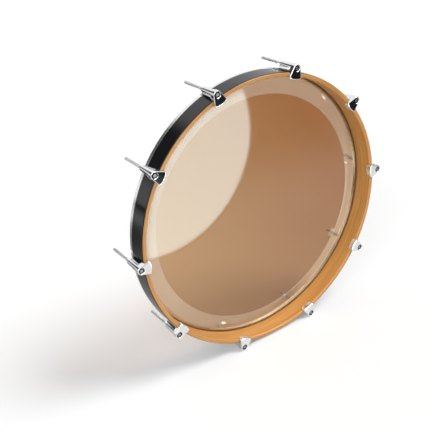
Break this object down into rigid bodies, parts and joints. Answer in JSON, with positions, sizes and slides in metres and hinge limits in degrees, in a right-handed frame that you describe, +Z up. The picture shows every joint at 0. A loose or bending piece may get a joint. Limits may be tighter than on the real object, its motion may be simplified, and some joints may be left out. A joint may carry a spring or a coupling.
{
  "type": "bass drum batter head",
  "caption": "Clear bass-drum head in an aluminium flesh hoop, with the counter hoop, claw hooks and key-head tension rods that clamp it to a shell and tune it.",
  "frame": {"origin": "centre of the flesh hoop's bore, halfway up the channel", "axes": "+Z up, +Y along the head's axis from the playing face to the drum, playing face towards -Y"},
  "size_m": [0.622, 0.1124, 0.5924],
  "materials": {
    "clear_film": "clear glossy polyester, slightly warm",
    "ring_film": "clear polyester ring that reads milky over the film",
    "hoop_aluminium": "bright rolled aluminium",
    "cast_resin": "cured casting resin",
    "plied_maple": "natural maple inside and on the front edge, black gloss lacquer outside",
    "claw_chrome": "polished chrome on a die casting",
    "rod_chrome": "chromed steel with a rolled thread",
    "pad_rubber": "black rubber",
    "washer_steel": "plated steel"
  },
  "bodies": {
    "head": {"batter_film": "clear_film", "overlap_ring": "ring_film", "flesh_hoop": "hoop_aluminium", "channel_resin": "cast_resin", "counter_hoop": "plied_maple", "claw_pads": "pad_rubber", "rod_washers": "washer_steel", "claw_01": "claw_chrome", "claw_02": "claw_chrome", "claw_03": "claw_chrome", "claw_04": "claw_chrome", "claw_05": "claw_chrome", "claw_06": "claw_chrome", "claw_07": "claw_chrome", "claw_08": "claw_chrome", "claw_09": "claw_chrome", "claw_10": "claw_chrome"},
    "rod_01": {"tension_rod_01": "rod_chrome"},
    "rod_02": {"tension_rod_02": "rod_chrome"},
    "rod_03": {"tension_rod_03": "rod_chrome"},
    "rod_04": {"tension_rod_04": "rod_chrome"},
    "rod_05": {"tension_rod_05": "rod_chrome"},
    "rod_06": {"tension_rod_06": "rod_chrome"},
    "rod_07": {"tension_rod_07": "rod_chrome"},
    "rod_08": {"tension_rod_08": "rod_chrome"},
    "rod_09": {"tension_rod_09": "rod_chrome"},
    "rod_10": {"tension_rod_10": "rod_chrome"}
  },
  "joints": [
    {"name": "rod_turn_01", "type": "hinge", "parent": "head", "child": "rod_01", "pos_m": [0.3026, 0, 0], "axis": [0, 1, 0], "continuous": true},
    {"name": "rod_turn_02", "type": "hinge", "parent": "head", "child": "rod_02", "pos_m": [0.24481, 0, 0.17786], "axis": [0, 1, 0], "continuous": true},
    {"name": "rod_turn_03", "type": "hinge", "parent": "head", "child": "rod_03", "pos_m": [0.09351, 0, 0.28779], "axis": [0, 1, 0], "continuous": true},
    {"name": "rod_turn_04", "type": "hinge", "parent": "head", "child": "rod_04", "pos_m": [-0.09351, 0, 0.28779], "axis": [0, 1, 0], "continuous": true},
    {"name": "rod_turn_05", "type": "hinge", "parent": "head", "child": "rod_05", "pos_m": [-0.24481, 0, 0.17786], "axis": [0, 1, 0], "continuous": true},
    {"name": "rod_turn_06", "type": "hinge", "parent": "head", "child": "rod_06", "pos_m": [-0.3026, 0, 0], "axis": [0, 1, 0], "continuous": true},
    {"name": "rod_turn_07", "type": "hinge", "parent": "head", "child": "rod_07", "pos_m": [-0.24481, 0, -0.17786], "axis": [0, 1, 0], "continuous": true},
    {"name": "rod_turn_08", "type": "hinge", "parent": "head", "child": "rod_08", "pos_m": [-0.09351, 0, -0.28779], "axis": [0, 1, 0], "continuous": true},
    {"name": "rod_turn_09", "type": "hinge", "parent": "head", "child": "rod_09", "pos_m": [0.09351, 0, -0.28779], "axis": [0, 1, 0], "continuous": true},
    {"name": "rod_turn_10", "type": "hinge", "parent": "head", "child": "rod_10", "pos_m": [0.24481, 0, -0.17786], "axis": [0, 1, 0], "continuous": true}
  ]
}
